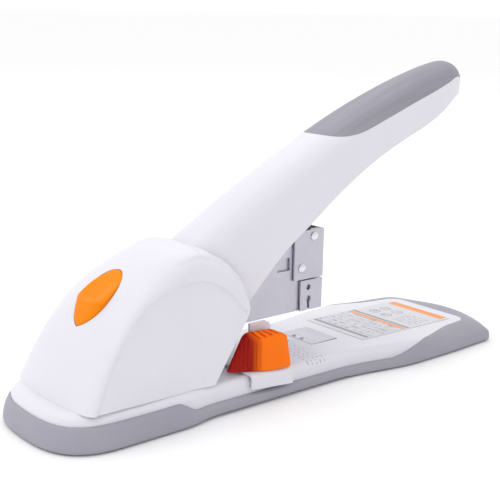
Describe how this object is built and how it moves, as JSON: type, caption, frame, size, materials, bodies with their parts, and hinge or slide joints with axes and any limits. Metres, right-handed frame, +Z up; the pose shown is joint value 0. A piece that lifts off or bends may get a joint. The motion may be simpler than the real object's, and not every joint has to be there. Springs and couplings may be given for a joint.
{
  "type": "heavy-duty stapler",
  "caption": "Heavy-duty desk stapler with a long pivoting lever, a spring-returned staple head with a slide-out rail, a release button and a sliding paper guide.",
  "frame": {"origin": "on the table under the middle of the base", "axes": "+X from the rear to the front tip of the base, +Z up, the middle plane at Y = 0"},
  "size_m": [0.297, 0.0868, 0.163],
  "materials": {
    "white_shell": "satin",
    "grey_tray": "fine matte",
    "grey_grip": "matte soft touch",
    "orange_button": "satin",
    "red_orange": "satin",
    "zinc_steel": "zinc plated",
    "tool_steel": "oiled",
    "bright_steel": "bright",
    "black_rubber": "matte",
    "printed_label": "printed film",
    "spring_wire": "drawn wire",
    "black_plastic": "matte"
  },
  "bodies": {
    "base": {"bottom_tray": "grey_tray", "base_plate": "zinc_steel", "base_cover": "white_shell", "rubber_feet": "black_rubber", "base_screws": "zinc_steel", "anvil_plate": "bright_steel", "scale_label": "printed_label", "pivot_bracket": "zinc_steel", "lever_pin": "bright_steel", "head_pin": "bright_steel", "pin_clips": "tool_steel", "rear_cover": "white_shell", "cover_screws": "zinc_steel", "latch_pin": "bright_steel", "head_lift_spring": "spring_wire", "button_spring": "spring_wire"},
    "handle": {"handle_shell": "white_shell", "grip_insert": "grey_grip", "lever_core": "zinc_steel", "driver_pin": "bright_steel", "lever_screws": "zinc_steel"},
    "head": {"head_frame": "zinc_steel", "head_web": "zinc_steel", "front_cover": "zinc_steel", "cover_rivets": "bright_steel", "lever_spring": "spring_wire"},
    "driver": {"driver_blade": "tool_steel", "driver_block": "tool_steel"},
    "rail": {"staple_rail": "zinc_steel", "nose_plate": "zinc_steel", "staple_strip": "bright_steel"},
    "pusher_body": {"pusher": "black_plastic", "pusher_spring": "spring_wire"},
    "button": {"release_button": "orange_button"},
    "latch": {"latch_lever": "zinc_steel"},
    "guide": {"guide_carriage": "white_shell", "guide_pad": "black_plastic", "guide_spring": "spring_wire"},
    "guide_lock": {"guide_button": "red_orange"}
  },
  "joints": [
    {"name": "handle_pivot", "type": "hinge", "parent": "base", "child": "handle", "pos_m": [-0.0693, 0, 0.042], "axis": [0, 1, 0], "range_deg": [0, 24], "stiffness_Nm_per_rad": 2, "springref_deg": -25.78},
    {"name": "head_pivot", "type": "hinge", "parent": "base", "child": "head", "pos_m": [-0.1053, 0, 0.021], "axis": [0, 1, 0], "range_deg": [0, 8.01], "stiffness_Nm_per_rad": 3, "springref_deg": -17.19, "deforming": ["head_lift_spring", "lever_spring"]},
    {"name": "driver_slide", "type": "slide", "parent": "head", "child": "driver", "axis": [0, 0, -1], "range_m": [0, 0.02065]},
    {"name": "rail_slide", "type": "slide", "parent": "head", "child": "rail", "axis": [-1, 0, 0], "range_m": [-0.085, 0]},
    {"name": "pusher_slide", "type": "slide", "parent": "rail", "child": "pusher_body", "axis": [1, 0, 0], "range_m": [-0.015, 0], "stiffness_N_per_m": 60, "springref_m": 0.04, "deforming": ["pusher_spring"]},
    {"name": "button_press", "type": "slide", "parent": "base", "child": "button", "axis": [0.7071, 0, -0.7071], "range_m": [0, 0.003], "stiffness_N_per_m": 600, "springref_m": -0.003, "deforming": ["button_spring"]},
    {"name": "latch_pivot", "type": "hinge", "parent": "base", "child": "latch", "pos_m": [-0.0803, 0, 0.061], "axis": [0, 1, 0], "range_deg": [-10.5, 0]},
    {"name": "guide_slide", "type": "slide", "parent": "base", "child": "guide", "axis": [1, 0, 0], "range_m": [0, 0.025]},
    {"name": "guide_press", "type": "slide", "parent": "guide", "child": "guide_lock", "axis": [0, 1, 0], "range_m": [0, 0.0015], "stiffness_N_per_m": 800, "springref_m": -0.003, "deforming": ["guide_spring"]}
  ],
  "couplings": [
    {"joint": "head_pivot", "follows": "handle_pivot", "ratio": 0.33333},
    {"joint": "driver_slide", "follows": "handle_pivot", "m_per_rad": 0.049179},
    {"joint": "latch_pivot", "follows": "button_press", "rad_per_m": -58.178}
  ]
}
